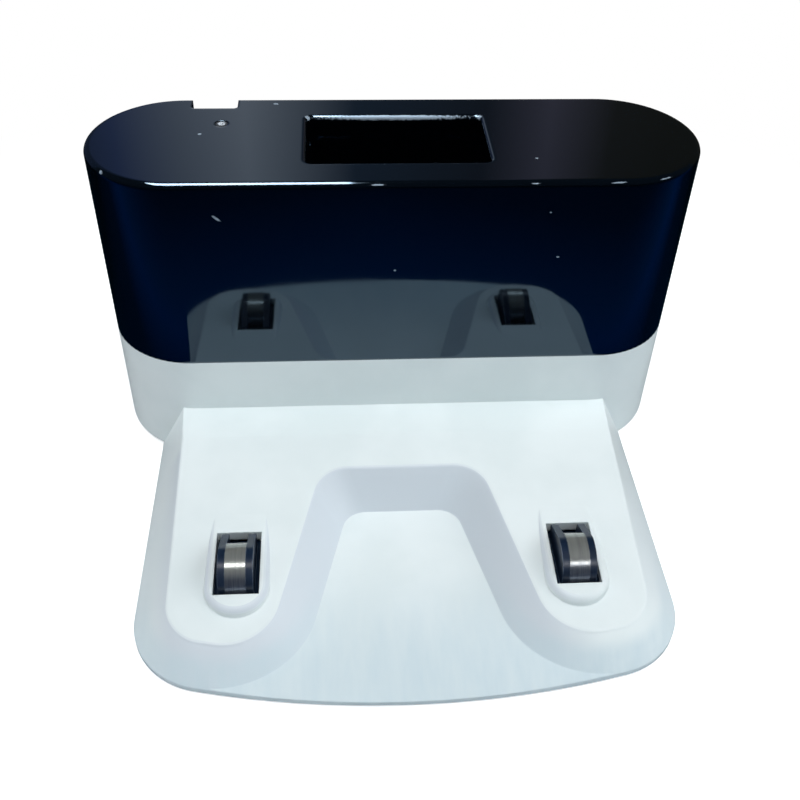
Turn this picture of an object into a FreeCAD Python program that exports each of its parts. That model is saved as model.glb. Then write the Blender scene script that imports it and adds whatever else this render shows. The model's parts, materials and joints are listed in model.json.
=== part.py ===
import FreeCAD, Part
import math
import os

import Sketcher

# Robot vacuum charging dock.
# Frame: X across the dock, -Y towards the approaching robot, +Z up, origin on the floor under
# the middle of the footprint. Millimetres and degrees.

SIZES = {
    # Overall and tower
    "tower_width": 150.8,
    "tower_depth": 44.5,
    "tower_height": 85.4,
    "dock_depth": 126.5,
    "seam_height": 33.5,
    "foot_proud": 0.8,
    "shell_wall": 2.2,
    "cover_roof": 2.6,
    "cover_edge_radius": 1.3,
    "tower_foot_radius": 2.6,
    "tongue_height": 2.4,
    "tongue_wall": 1.1,
    "seam_gap": 0.15,
    # Ramp footprint and skirt
    "ramp_width": 130.0,
    "ramp_front_radius": 222.0,
    "ramp_corner_radius": 20.0,
    "lip_height": 1.3,
    "skirt_side_run": 8.0,
    "skirt_front_run": 7.4,
    "plateau_corner_radius": 11.0,
    # Plateau: a nearly level land beside the tower, then the ramp proper
    "land_run": 11.0,
    "land_height": 17.4,
    "land_angle": 2.4,
    "ramp_angle": 8.95,
    "plateau_edge_radius": 0.9,
    # Dip between the arms: upper edge, and floor
    "dip_back_run": 22.2,
    "dip_back_width": 40.0,
    "dip_mouth_width": 66.0,
    "dip_corner_radius": 8.5,
    "dip_flare_radius": 13.0,
    "floor_back_run": 28.0,
    "floor_back_width": 28.0,
    "floor_mouth_width": 55.0,
    "floor_corner_radius": 6.0,
    "floor_flare_radius": 23.0,
    "floor_front_height": 2.0,
    "floor_angle": 3.6,
    "arm_reach": 42.0,
    "arm_flat": 0.15,
    # Contact windows and their bosses
    "contact_spacing": 80.7,
    "window_run": 49.4,
    "window_width": 10.7,
    "window_length": 17.7,
    "boss_width": 15.5,
    "boss_front_margin": 4.7,
    "boss_height": 12.55,
    "boss_angle": 4.2,
    "boss_flank_run": 0.6,
    "boss_flank_depth": 5.0,
    "boss_edge_radius": 2.0,
    # Sprung contacts
    "ceiling_height": 9.8,
    "stop_gap": 0.3,
    "holder_margin": 0.65,
    "holder_roof": 1.5,
    "holder_skirt": 2.4,
    "holder_wall": 1.2,
    "holder_corner_radius": 2.0,
    "strip_width": 4.8,
    "strip_gauge": 0.4,
    "strip_radius": 6.6,
    "strip_rise": 5.35,
    "strip_offset": 1.6,
    "strip_foot": 0.5,
    "strip_foot_drop": 0.9,
    "strip_slot_gap": 0.1,
    "cheek_width": 1.7,
    "cheek_inset": 0.15,
    "cheek_crest": 1.5,
    "cheek_crest_radius": 4.0,
    "cheek_back_gap": 0.5,
    "cheek_back_rise": 0.9,
    "cheek_back_radius": 1.0,
    "spring_radius": 3.0,
    "spring_wire": 0.45,
    "spring_turns": 3.5,
    "peg_radius": 2.2,
    "peg_gap": 0.2,
    "peg_height": 2.0,
    "terminal_gauge": 0.4,
    "terminal_width": 8.6,
    "terminal_length": 13.0,
    "terminal_tail_width": 3.0,
    "terminal_tail": 9.0,
    "guide_gap": 0.3,
    "guide_wall": 1.2,
    "guide_height": 4.6,
    "guide_slot_width": 4.4,
    # Bottom plate
    "plate_gauge": 1.6,
    "plate_gap": 0.15,
    "plate_width": 120.0,
    "plate_front_run": 63.5,
    "plate_corner_radius": 8.0,
    "plate_tower_margin": 4.0,
    "cavity_margin": 2.5,
    "dip_wall": 3.2,
    "passage_width": 100.0,
    "passage_height": 10.0,
    # Tool well
    "well_width": 44.0,
    "well_length": 24.0,
    "well_depth": 30.0,
    "well_setback": 10.0,
    "well_wall": 1.8,
    "well_corner_radius": 1.6,
    "well_rim_radius": 1.0,
    # Cord channel down the back, open at the top edge
    "channel_width": 11.6,
    "channel_depth": 5.7,
    "channel_offset": 45.5,
    "channel_wall": 1.8,
    "channel_corner_radius": 1.0,
    "channel_mouth_radius": 1.3,
    # Status light
    "light_offset": 43.1,
    "light_setback": 14.3,
    "light_radius": 1.5,
    "light_gap": 0.1,
    "light_length": 8.0,
    "light_flange_radius": 2.6,
    "light_flange": 1.2,
    "lamp_width": 3.0,
    "lamp_height": 1.6,
    "lamp_board_width": 16.0,
    "lamp_board_length": 9.0,
    "lamp_post_spacing": 11.0,
    "lamp_post_radius": 1.6,
    "board_gauge": 1.6,
    # Board and infrared emitters
    "board_width": 92.0,
    "board_setback": 11.0,
    "board_lift": 18.0,
    "board_gap": 0.15,
    "board_head_gap": 3.6,
    "post_width": 7.0,
    "post_depth": 6.0,
    "post_bite": 2.5,
    "post_grip": 12.0,
    "emitter_radius": 2.5,
    "emitter_length": 5.6,
    "emitter_rim": 0.5,
    "emitter_spacing": 30.0,
    "emitter_drop": 6.0,
    # Power inlet
    "jack_width": 9.0,
    "jack_height": 11.0,
    "jack_length": 14.0,
    "jack_nose_radius": 4.0,
    "jack_bore_radius": 3.1,
    "jack_bore_depth": 9.5,
    "jack_pin_radius": 1.05,
    "jack_pin_tip": 1.5,
    "jack_lift": 20.0,
    "jack_gap": 0.1,
    # Leads
    "lead_radius": 0.8,
    "lead_bend": 4.0,
    "lead_overlap": 3.0,
    "lead_climb": 4.0,
    # Screws and feet
    "screw_radius": 1.5,
    "screw_head_radius": 2.8,
    "screw_head": 1.0,
    "screw_length": 9.0,
    "screw_gap": 0.2,
    "screw_boss_radius": 3.6,
    "screw_front_run": 12.0,
    "screw_front_spacing": 98.0,
    "screw_rear_spacing": 116.0,
    "foot_radius": 5.0,
    "foot_depth": 0.8,
    "foot_gap": 0.1,
    "foot_front_run": 55.0,
    "foot_front_spacing": 100.0,
    "foot_rear_setback": 11.0,
    "foot_rear_spacing": 92.0,
}

doc = FreeCAD.newDocument("charging_dock")
sheet = doc.addObject("Spreadsheet::Sheet", "Sizes")
for row, (alias, number) in enumerate(SIZES.items(), start=1):
    sheet.set("A%d" % row, alias)
    sheet.set("B%d" % row, repr(number))
    sheet.setAlias("B%d" % row, alias)
doc.recompute()


class Size:
    """A number together with the sheet formula that gives it."""

    def __init__(self, number, formula):
        self.number = float(number)
        self.formula = formula

    def combine(self, other, sign, number, swapped=False):
        other = as_size(other)
        first, second = (other, self) if swapped else (self, other)
        return Size(number(first.number, second.number), "(%s %s %s)" % (first.formula, sign, second.formula))

    def __add__(self, other):
        return self.combine(other, "+", lambda a, b: a + b)

    def __radd__(self, other):
        return self.combine(other, "+", lambda a, b: a + b, True)

    def __sub__(self, other):
        return self.combine(other, "-", lambda a, b: a - b)

    def __rsub__(self, other):
        return self.combine(other, "-", lambda a, b: a - b, True)

    def __mul__(self, other):
        return self.combine(other, "*", lambda a, b: a * b)

    def __rmul__(self, other):
        return self.combine(other, "*", lambda a, b: a * b, True)

    def __truediv__(self, other):
        return self.combine(other, "/", lambda a, b: a / b)

    def __neg__(self):
        return Size(-self.number, "(0 - %s)" % self.formula)


def as_size(quantity):
    if isinstance(quantity, Size):
        return quantity
    return Size(quantity, "(%r)" % float(quantity))


def size(alias):
    return Size(sheet.get(alias), "Sizes.%s" % alias)


def sine(angle):
    return Size(math.sin(math.radians(angle.number)), "sin(%s)" % angle.formula)


def cosine(angle):
    return Size(math.cos(math.radians(angle.number)), "cos(%s)" % angle.formula)


def tangent(angle):
    return Size(math.tan(math.radians(angle.number)), "tan(%s)" % angle.formula)


def arcsine(ratio):
    return Size(math.degrees(math.asin(ratio.number)), "asin(%s)" % ratio.formula)


def bind(target, prop, quantity):
    target.setExpression(prop, as_size(quantity).formula)


# Bodies, sketches and features


def new_body(label):
    body = doc.addObject("PartDesign::Body", label)
    body.Label = label
    return body


def new_sketch(body, name, plane, offset=(0, 0, 0), tilt=None):
    """A sketch on one of the body's own origin planes, moved by offset and tilted about its X axis."""
    sketch = body.newObject("Sketcher::SketchObject", name)
    support = [feature for feature in body.Origin.OriginFeatures if feature.Role == plane][0]
    sketch.AttachmentSupport = [(support, "")]
    sketch.MapMode = "FlatFace"
    moved = [as_size(part) for part in offset]
    turn = FreeCAD.Rotation(FreeCAD.Vector(1, 0, 0), tilt.number if tilt else 0.0)
    sketch.AttachmentOffset = FreeCAD.Placement(FreeCAD.Vector(*[part.number for part in moved]), turn)
    for axis, part in zip("xyz", moved):
        bind(sketch, "AttachmentOffset.Base.%s" % axis, part)
    if tilt:
        bind(sketch, "AttachmentOffset.Rotation.Angle", tilt)
    return sketch


class Constraints:
    """Collects a sketch's constraints, so that they are solved once, and binds the sized ones."""

    def __init__(self, sketch):
        self.sketch = sketch
        self.items = []
        self.bound = []

    def add(self, *parts):
        self.items.append(Sketcher.Constraint(*parts))

    def sized(self, kind, parts, quantity):
        quantity = as_size(quantity)
        self.bound.append((len(self.items), quantity))
        self.items.append(Sketcher.Constraint(kind, *parts, quantity.number))

    def place(self, curve, point, x, y):
        self.sized("DistanceX", (-1, 1, curve, point), x)
        self.sized("DistanceY", (-1, 1, curve, point), y)

    def apply(self):
        self.sketch.addConstraint(self.items)
        for number, quantity in self.bound:
            bind(self.sketch, "Constraints[%d]" % number, quantity)


def vector(x, y):
    return FreeCAD.Vector(as_size(x).number, as_size(y).number, 0)


def polygon(sketch, corners):
    """A closed outline through corners (x, y, radius); a radius of None leaves the corner sharp."""
    points = [vector(x, y) for x, y, radius in corners]
    count = len(points)
    starts, ends, arcs = [], [], []
    for number, (x, y, radius) in enumerate(corners):
        here = points[number]
        back = (points[number - 1] - here).normalize()
        ahead = (points[(number + 1) % count] - here).normalize()
        if radius is None:
            starts.append(here)
            ends.append(here)
            arcs.append(None)
            continue
        half = back.getAngle(ahead) / 2
        reach = as_size(radius).number / math.tan(half)
        centre = here + (back + ahead).normalize() * (as_size(radius).number / math.sin(half))
        entry = here + back * reach
        leave = here + ahead * reach
        middle = centre + (here - centre).normalize() * as_size(radius).number
        starts.append(leave)
        ends.append(entry)
        arcs.append(Part.Arc(entry, middle, leave))
    lines = []
    for number in range(count):
        line = Part.LineSegment(starts[number], ends[(number + 1) % count])
        lines.append(sketch.addGeometry(line, False))
    rules = Constraints(sketch)
    for number, (x, y, radius) in enumerate(corners):
        before = lines[number - 1]
        after = lines[number]
        if radius is None:
            rules.add("Coincident", before, 2, after, 1)
            rules.place(after, 1, x, y)
            continue
        arc = sketch.addGeometry(arcs[number], False)
        corner = sketch.addGeometry(Part.Point(points[number]), True)
        turned = (points[number] - points[number - 1]).cross(points[(number + 1) % count] - points[number]).z
        entry, leave = (1, 2) if turned > 0 else (2, 1)
        rules.add("Tangent", before, 2, arc, entry)
        rules.add("Tangent", arc, leave, after, 1)
        rules.add("PointOnObject", corner, 1, before)
        rules.add("PointOnObject", corner, 1, after)
        rules.place(corner, 1, x, y)
        rules.sized("Radius", (arc,), radius)
    rules.apply()
    return sketch


def rectangle(sketch, x_low, x_high, y_low, y_high, radius=None):
    return polygon(sketch, [
        (x_low, y_low, radius), (x_high, y_low, radius), (x_high, y_high, radius), (x_low, y_high, radius)])


def stadium(sketch, x_low, x_high, y_low, y_high, radius):
    """Two half circles of one radius about the two centres, joined by straight lines."""
    centres = [vector(x_low, y_low), vector(x_high, y_high)]
    along = (centres[1] - centres[0]).normalize()
    side = FreeCAD.Vector(along.y, -along.x, 0) * as_size(radius).number
    tip = along * as_size(radius).number
    near, far = centres
    first = sketch.addGeometry(Part.Arc(far + side, far + tip, far - side), False)
    top = sketch.addGeometry(Part.LineSegment(far - side, near - side), False)
    second = sketch.addGeometry(Part.Arc(near - side, near - tip, near + side), False)
    bottom = sketch.addGeometry(Part.LineSegment(near + side, far + side), False)
    rules = Constraints(sketch)
    rules.add("Tangent", first, 2, top, 1)
    rules.add("Tangent", top, 2, second, 1)
    rules.add("Tangent", second, 2, bottom, 1)
    rules.add("Tangent", bottom, 2, first, 1)
    rules.add("Equal", first, second)
    rules.place(first, 3, x_high, y_high)
    rules.place(second, 3, x_low, y_low)
    rules.sized("Radius", (first,), radius)
    rules.apply()
    return sketch


def bowed_front(sketch, half_width, front, front_radius, corner_radius, back):
    """The ramp's footprint: parallel sides, rounded corners and a front edge bowed about the Y axis."""
    half = as_size(half_width).number
    bow = as_size(front_radius).number
    corner = as_size(corner_radius).number
    centre = FreeCAD.Vector(0, as_size(front).number + bow, 0)
    across = half - corner
    drop = math.sqrt((bow - corner) ** 2 - across ** 2)
    right_centre = centre + FreeCAD.Vector(across, -drop, 0)
    left_centre = centre + FreeCAD.Vector(-across, -drop, 0)
    right_touch = centre + (right_centre - centre).normalize() * bow
    left_touch = centre + (left_centre - centre).normalize() * bow
    right_side = right_centre + FreeCAD.Vector(corner, 0, 0)
    left_side = left_centre - FreeCAD.Vector(corner, 0, 0)
    right_mid = right_centre + (right_touch + right_side - right_centre * 2).normalize() * corner
    left_mid = left_centre + (left_touch + left_side - left_centre * 2).normalize() * corner
    rear = as_size(back).number
    front_arc = sketch.addGeometry(
        Part.Arc(left_touch, FreeCAD.Vector(0, as_size(front).number, 0), right_touch), False)
    right_arc = sketch.addGeometry(Part.Arc(right_touch, right_mid, right_side), False)
    right_line = sketch.addGeometry(
        Part.LineSegment(right_side, FreeCAD.Vector(half, rear, 0)), False)
    back_line = sketch.addGeometry(
        Part.LineSegment(FreeCAD.Vector(half, rear, 0), FreeCAD.Vector(-half, rear, 0)), False)
    left_line = sketch.addGeometry(
        Part.LineSegment(FreeCAD.Vector(-half, rear, 0), left_side), False)
    left_arc = sketch.addGeometry(Part.Arc(left_side, left_mid, left_touch), False)
    rules = Constraints(sketch)
    rules.add("Tangent", front_arc, 2, right_arc, 1)
    rules.add("Tangent", right_arc, 2, right_line, 1)
    rules.add("Coincident", right_line, 2, back_line, 1)
    rules.add("Coincident", back_line, 2, left_line, 1)
    rules.add("Tangent", left_line, 2, left_arc, 1)
    rules.add("Tangent", left_arc, 2, front_arc, 1)
    rules.add("Vertical", right_line)
    rules.add("Vertical", left_line)
    rules.add("Equal", right_arc, left_arc)
    rules.place(right_line, 2, half_width, back)
    rules.place(back_line, 2, -as_size(half_width), back)
    rules.place(front_arc, 3, 0, as_size(front) + front_radius)
    rules.sized("Radius", (front_arc,), front_radius)
    rules.sized("Radius", (right_arc,), corner_radius)
    rules.apply()
    return sketch


def circle(sketch, x, y, radius):
    round_edge = sketch.addGeometry(
        Part.Circle(vector(x, y), FreeCAD.Vector(0, 0, 1), as_size(radius).number), False)
    rules = Constraints(sketch)
    rules.place(round_edge, 3, x, y)
    rules.sized("Radius", (round_edge,), radius)
    rules.apply()
    return sketch


def pad(body, sketch, length, reverse=False, both_ways=False):
    feature = body.newObject("PartDesign::Pad", sketch.Name + "_pad")
    feature.Profile = sketch
    feature.SideType = "Symmetric" if both_ways else "One side"
    feature.Reversed = reverse
    bind(feature, "Length", length)
    sketch.Visibility = False
    return feature


def pocket(body, sketch, length, reverse=False, both_ways=False):
    feature = body.newObject("PartDesign::Pocket", sketch.Name + "_cut")
    feature.Profile = sketch
    feature.SideType = "Symmetric" if both_ways else "One side"
    feature.Reversed = reverse
    bind(feature, "Length", length)
    sketch.Visibility = False
    return feature


def loft(body, kind, sketches):
    feature = body.newObject("PartDesign::%sLoft" % kind, sketches[0].Name + "_loft")
    feature.Profile = sketches[0]
    feature.Sections = sketches[1:]
    feature.Ruled = True
    return feature


def round_edges(body, name, radius, wanted):
    """A fillet on the tip's edges for which wanted(shape, edge) is true."""
    doc.recompute()
    base = body.Tip
    names = [
        "Edge%d" % number for number, edge in enumerate(base.Shape.Edges, start=1)
        if wanted(base.Shape, edge)]
    feature = body.newObject("PartDesign::Fillet", name)
    feature.Base = (base, names)
    bind(feature, "Radius", radius)
    return feature


# Places that several pieces share

back_y = size("dock_depth") / 2
front_y = -back_y
tower_front_y = back_y - size("tower_depth")
tower_mid_y = back_y - size("tower_depth") / 2
tower_end_x = size("tower_width") / 2 - size("tower_depth") / 2
tower_radius = size("tower_depth") / 2
ground = size("foot_proud")
lip_top = ground + size("lip_height")
plate_top = ground + size("plate_gauge")
crease_y = tower_front_y - size("land_run")
ramp_cos = cosine(size("ramp_angle"))
floor_cos = cosine(size("floor_angle"))
bow_centre_y = front_y + size("ramp_front_radius")
SIDES = (-1, 1)
ROUNDING_STEPS = 6
contact_x = size("contact_spacing") / 2
window_y = tower_front_y - size("window_run")
plate_front_y = tower_front_y - size("plate_front_run")
screw_front_y = tower_front_y - size("screw_front_run")
board_y = tower_front_y + size("board_setback") + size("board_gauge") / 2
board_top = size("tower_height") - size("well_depth") - size("well_wall") - size("board_head_gap")
well_front_y = tower_front_y + size("well_setback")
well_back_y = well_front_y + size("well_length")
channel_x = -size("channel_offset")
jack_x = channel_x
jack_back_y = back_y - size("shell_wall")
light_x = -size("light_offset")
light_y = back_y - size("light_setback")
lamp_board_top = size("tower_height") - size("light_length") - size("light_gap") - size("lamp_height")

# Contact strip: an arch over the window, from its foot at the front to its tail on the spring
arch_mid_y = window_y - size("strip_offset")
arch_front_y = arch_mid_y - size("strip_radius")
arch_back_y = arch_mid_y + size("strip_radius")
arch_top = size("boss_height") + size("strip_rise")
arch_bend = size("strip_radius") * 0.97
strip_foot_y = arch_front_y - size("strip_foot")
strip_foot_top = (
    size("boss_height") - size("window_length") / 2 * tangent(size("boss_angle")) - size("strip_foot_drop"))
terminal_top = plate_top + size("terminal_gauge")
terminal_end_y = window_y + size("terminal_length") / 2 + size("terminal_tail")
spring_length = (
    size("ceiling_height") - size("stop_gap") - size("holder_roof") - size("strip_gauge") - terminal_top)


def on_ramp(y):
    """Place of y along the tilted plateau plane, measured from the crease."""
    return (y - crease_y) / ramp_cos


def on_floor(y):
    """Place of y along the tilted dip floor, measured from the front edge."""
    return (y - front_y) / floor_cos


def on_boss(y):
    return (y - window_y) / cosine(size("boss_angle"))


def rounding_shares():
    """Height and inset of the rings up a quarter round, as shares of its radius, from the wall inwards."""
    turns = [math.pi / 2 * step / ROUNDING_STEPS for step in range(ROUNDING_STEPS + 1)]
    return [(math.sin(turn), 1 - math.cos(turn)) for turn in turns]


def plateau_rim():
    """Drop below the plateau and inset of the rings round its edge, from the skirt inwards."""
    radius = size("plateau_edge_radius")
    return [(radius * (1 - share_up), radius * share_in) for share_up, share_in in rounding_shares()[2::2]]


def tower_outline(sketch, inset):
    return stadium(sketch, -tower_end_x, tower_end_x, tower_mid_y, tower_mid_y, tower_radius - inset)


def arm_front_y(x, radius):
    """Y at x of the straight front of an arm, which just shaves the bowed front edge of that radius."""
    lean = arcsine(size("arm_reach") / radius)
    return bow_centre_y - (radius - size("arm_flat") - sine(lean) * x) / cosine(lean)


def dip_corners(back_half, back, mouth_half, radius, corner, flare, place):
    """The dip in plan, from the far front on one side round its back to the other side."""
    outside_x = size("ramp_width") / 2 + size("skirt_side_run")
    outside_y = front_y - size("ramp_corner_radius")
    mouth_y = arm_front_y(mouth_half, radius)
    edge_y = arm_front_y(outside_x, radius)
    return [
        (outside_x, place(outside_y), None),
        (outside_x, place(edge_y), None),
        (mouth_half, place(mouth_y), flare),
        (back_half, place(back), corner),
        (-back_half, place(back), corner),
        (-mouth_half, place(mouth_y), flare),
        (-outside_x, place(edge_y), None),
        (-outside_x, place(outside_y), None),
    ]


def arm_corners(half, front, back, dip_half, dip_back, mouth_half, radius, place):
    """The hollow of both arms in plan: it keeps a wall's thickness from the dip."""
    wall = size("dip_wall")
    mouth_y = arm_front_y(mouth_half, radius)
    inner_half = dip_half + wall + (mouth_half - dip_half) * (dip_back - front) / (dip_back - mouth_y)
    return [
        (half, place(front), None),
        (half, place(back), None),
        (-half, place(back), None),
        (-half, place(front), None),
        (-inner_half, place(front), None),
        (-(dip_half + wall), place(dip_back + wall), None),
        (dip_half + wall, place(dip_back + wall), None),
        (inner_half, place(front), None),
    ]


def plate_outline(sketch, inset):
    half = size("plate_width") / 2 - inset
    return rectangle(sketch, -half, half, plate_front_y + inset, tower_mid_y, size("plate_corner_radius"))


def holder_outline(sketch, x, grown):
    """Outline of a contact's sliding cup, grown by a clearance or shrunk by a wall."""
    half_width = size("window_width") / 2 + size("holder_margin") + grown
    half_length = size("window_length") / 2 + size("holder_margin") + grown
    radius = size("holder_corner_radius") + grown
    return rectangle(
        sketch, x - half_width, x + half_width, window_y - half_length, window_y + half_length, radius)


def screw_places():
    front = size("screw_front_spacing") / 2
    rear = size("screw_rear_spacing") / 2
    return [(-front, screw_front_y), (front, screw_front_y), (-rear, tower_mid_y), (rear, tower_mid_y)]


def foot_places():
    front = size("foot_front_spacing") / 2
    rear = size("foot_rear_spacing") / 2
    front_row = tower_front_y - size("foot_front_run")
    rear_row = back_y - size("foot_rear_setback")
    return [(-front, front_row), (front, front_row), (-rear, rear_row), (rear, rear_row)]


def place(body, x, y, z):
    for axis, part in zip("xyz", (x, y, z)):
        bind(body, "Placement.Base.%s" % axis, part)


# Edges to round


def lies_at(edge, height):
    box = edge.BoundBox
    return abs(box.ZMin - height.number) < 1e-4 and abs(box.ZMax - height.number) < 1e-4


def cover_edge(shape, edge):
    return lies_at(edge, size("tower_height"))


def well_rim(shape, edge):
    middle = edge.CenterOfMass
    inside = abs(middle.x) < size("well_width").number / 2 + 1
    return inside and lies_at(edge, size("tower_height")) and abs(middle.y - back_y.number) > 5 and (
        well_front_y.number - 1 < middle.y < well_back_y.number + 1)


# Base housing: moulded ramp and lower band of the tower


def make_base_housing():
    body = new_body("base_housing")
    half = size("ramp_width") / 2
    plateau_half = half - size("skirt_side_run")
    plateau_radius = size("ramp_front_radius") - size("skirt_front_run")
    inside_tower_y = tower_mid_y

    # Thin lip that carries the whole footprint
    lip = new_sketch(body, "lip_outline", "XY_Plane", (0, 0, ground))
    bowed_front(lip, half, front_y, size("ramp_front_radius"), size("ramp_corner_radius"), inside_tower_y)
    pad(body, lip, size("lip_height"))

    # Skirt and plateau, ruled from the lip up over a rounded rim to the tilted plateau plane
    foot = new_sketch(body, "skirt_foot", "XY_Plane", (0, 0, lip_top))
    bowed_front(foot, half, front_y, size("ramp_front_radius"), size("ramp_corner_radius"), inside_tower_y)
    rings = [foot]
    for drop, inset in plateau_rim():
        ring = new_sketch(
            body, "skirt_rim", "XY_Plane", (0, crease_y, size("land_height") - drop), size("ramp_angle"))
        bowed_front(
            ring, plateau_half - inset, on_ramp(front_y + size("skirt_front_run") + inset),
            plateau_radius - inset, size("plateau_corner_radius") - inset, on_ramp(inside_tower_y))
        rings.append(ring)
    loft(body, "Additive", rings)

    # The land beside the tower is cut flatter than the ramp
    land_end = tower_mid_y
    rise = (land_end - crease_y) * tangent(size("land_angle"))
    wedge = new_sketch(body, "land_profile", "YZ_Plane")
    polygon(wedge, [
        (crease_y, size("land_height"), None),
        (land_end, size("land_height") + rise, None),
        (land_end, size("seam_height"), None),
        (crease_y, size("seam_height"), None)])
    pocket(body, wedge, size("tower_width"), both_ways=True)

    # Dip between the arms
    floor = new_sketch(
        body, "dip_floor", "XY_Plane", (0, front_y, size("floor_front_height")), size("floor_angle"))
    polygon(floor, dip_corners(
        size("floor_back_width") / 2, tower_front_y - size("floor_back_run"), size("floor_mouth_width") / 2,
        size("ramp_front_radius"), size("floor_corner_radius"), size("floor_flare_radius"), on_floor))
    rings = [floor]
    for drop, inset in plateau_rim():
        ring = new_sketch(
            body, "dip_rim", "XY_Plane", (0, crease_y, size("land_height") - drop), size("ramp_angle"))
        polygon(ring, dip_corners(
            size("dip_back_width") / 2 + inset, tower_front_y - size("dip_back_run") + inset,
            size("dip_mouth_width") / 2 + inset, plateau_radius - inset,
            size("dip_corner_radius") + inset, size("dip_flare_radius") - inset, on_ramp))
        rings.append(ring)
    loft(body, "Subtractive", rings)

    # Bosses that carry the contact windows; their backs run out inside the plateau
    half_boss = size("boss_width") / 2
    boss_front_y = window_y - size("window_length") / 2 - size("boss_front_margin") + half_boss
    boss_back_y = crease_y - size("boss_width")
    edge = size("boss_edge_radius")
    for side in SIDES:
        x = contact_x * side
        base = new_sketch(
            body, "boss_foot", "XY_Plane", (0, 0, size("boss_height") - size("boss_flank_depth")))
        stadium(base, x, x, boss_front_y, boss_back_y, half_boss + size("boss_flank_run"))
        rings = [base]
        for share_up, share_in in rounding_shares():
            ring = new_sketch(
                body, "boss_shoulder", "XY_Plane", (0, window_y, size("boss_height") - edge * (1 - share_up)),
                size("boss_angle"))
            stadium(ring, x, x, on_boss(boss_front_y), on_boss(boss_back_y), half_boss - edge * share_in)
            rings.append(ring)
        loft(body, "Additive", rings)

    # Lower band of the tower, and the tongue that the cover slips over
    foot_radius = size("tower_foot_radius")
    rounding = []
    for share_up, share_in in rounding_shares():
        ring = new_sketch(body, "tower_foot", "XY_Plane", (0, 0, ground + foot_radius * (1 - share_up)))
        rounding.append(tower_outline(ring, foot_radius * share_in))
    loft(body, "Additive", rounding)
    band = new_sketch(body, "tower_band", "XY_Plane", (0, 0, ground + foot_radius))
    tower_outline(band, 0)
    pad(body, band, size("seam_height") - ground - foot_radius)
    tongue = new_sketch(body, "tongue", "XY_Plane", (0, 0, size("seam_height")))
    tower_outline(tongue, size("shell_wall") - size("tongue_wall"))
    pad(body, tongue, size("tongue_height"))

    # Hollow tower, recess for the bottom plate, hollow arms and the passage between them
    hollow = new_sketch(body, "tower_hollow", "XY_Plane", (0, 0, plate_top))
    tower_outline(hollow, size("shell_wall"))
    pocket(body, hollow, size("seam_height") + size("tongue_height") - plate_top, reverse=True)
    recess = new_sketch(body, "plate_recess", "XY_Plane", (0, 0, ground))
    plate_outline(recess, 0)
    pocket(body, recess, size("plate_gauge"), reverse=True)
    recess = new_sketch(body, "plate_recess", "XY_Plane", (0, 0, ground))
    tower_outline(recess, size("plate_tower_margin"))
    pocket(body, recess, size("plate_gauge"), reverse=True)

    cavity_back_y = crease_y
    cavity_front_y = plate_front_y + size("cavity_margin")
    cavity_half = size("plate_width") / 2 - size("cavity_margin")
    low = new_sketch(body, "arm_hollow_low", "XY_Plane", (0, 0, plate_top))
    polygon(low, arm_corners(
        cavity_half, cavity_front_y, cavity_back_y,
        size("floor_back_width") / 2, tower_front_y - size("floor_back_run"),
        size("floor_mouth_width") / 2, size("ramp_front_radius"), lambda y: y))
    high = new_sketch(
        body, "arm_hollow_high", "XY_Plane",
        (0, crease_y, size("land_height") - size("shell_wall")), size("ramp_angle"))
    polygon(high, arm_corners(
        plateau_half - size("shell_wall"), cavity_front_y, cavity_back_y,
        size("dip_back_width") / 2, tower_front_y - size("dip_back_run"),
        size("dip_mouth_width") / 2, plateau_radius, on_ramp))
    loft(body, "Subtractive", [low, high])
    passage = new_sketch(body, "passage", "XY_Plane", (0, 0, plate_top))
    rectangle(
        passage, -size("passage_width") / 2, size("passage_width") / 2,
        crease_y - size("cavity_margin"), tower_mid_y)
    pocket(body, passage, size("passage_height"), reverse=True)

    # Contact wells and windows
    for side in SIDES:
        x = contact_x * side
        well = new_sketch(body, "contact_well", "XY_Plane", (0, 0, plate_top))
        holder_outline(well, x, size("guide_gap"))
        pocket(body, well, size("ceiling_height") - plate_top, reverse=True)
        window = new_sketch(
            body, "contact_window", "XY_Plane", (0, 0, size("ceiling_height") - size("stop_gap")))
        half_width = size("window_width") / 2
        half_length = size("window_length") / 2
        rectangle(window, x - half_width, x + half_width, window_y - half_length, window_y + half_length)
        pocket(body, window, size("boss_height"), reverse=True)

    # Front screw bosses hang under the plateau; the inlet hole is in the rear wall
    for side in SIDES:
        x = size("screw_front_spacing") / 2 * side
        boss = new_sketch(body, "screw_boss", "XY_Plane", (0, 0, plate_top))
        circle(boss, x, screw_front_y, size("screw_boss_radius"))
        pad(body, boss, size("land_height") - size("shell_wall") / 2 - plate_top)
        pilot = new_sketch(body, "screw_pilot", "XY_Plane", (0, 0, plate_top))
        circle(pilot, x, screw_front_y, size("screw_radius"))
        pocket(body, pilot, size("screw_length"), reverse=True)
    inlet = new_sketch(body, "inlet_hole", "XZ_Plane", (0, 0, -back_y))
    circle(inlet, jack_x, size("jack_lift"), size("jack_nose_radius") + size("jack_gap"))
    pocket(body, inlet, size("shell_wall") * 2, reverse=True)
    return body


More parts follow.
